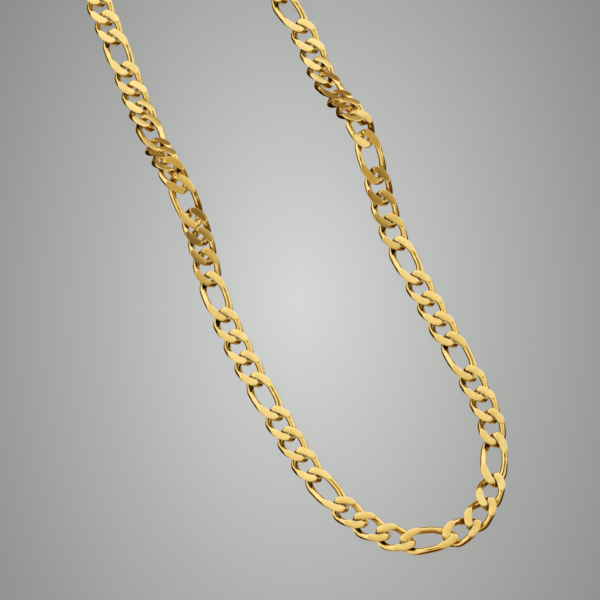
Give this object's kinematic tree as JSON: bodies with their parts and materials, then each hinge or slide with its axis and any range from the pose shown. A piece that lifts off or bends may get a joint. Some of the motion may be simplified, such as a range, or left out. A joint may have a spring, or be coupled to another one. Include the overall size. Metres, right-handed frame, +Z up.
{
  "type": "figaro link neck chain",
  "caption": "Neck chain of flat oval links, several short ones and then a longer one in turn, closed by a plain clasp.",
  "frame": {"origin": "middle of the loop's outline on the surface it lies on", "axes": "+Z up from the surface, +Y from the front of the loop to the clasp, +X across the loop"},
  "size_m": [0.0532, 0.2136, 0.0113],
  "materials": {
    "chain_left": "gold plated, polished, flats satin",
    "chain_right": "gold plated, polished, flats satin",
    "clasp": "gold plated, polished"
  },
  "bodies": {
    "root": {"chain_left": "chain_left", "chain_right": "chain_right", "clasp": "clasp"}
  },
  "joints": []
}
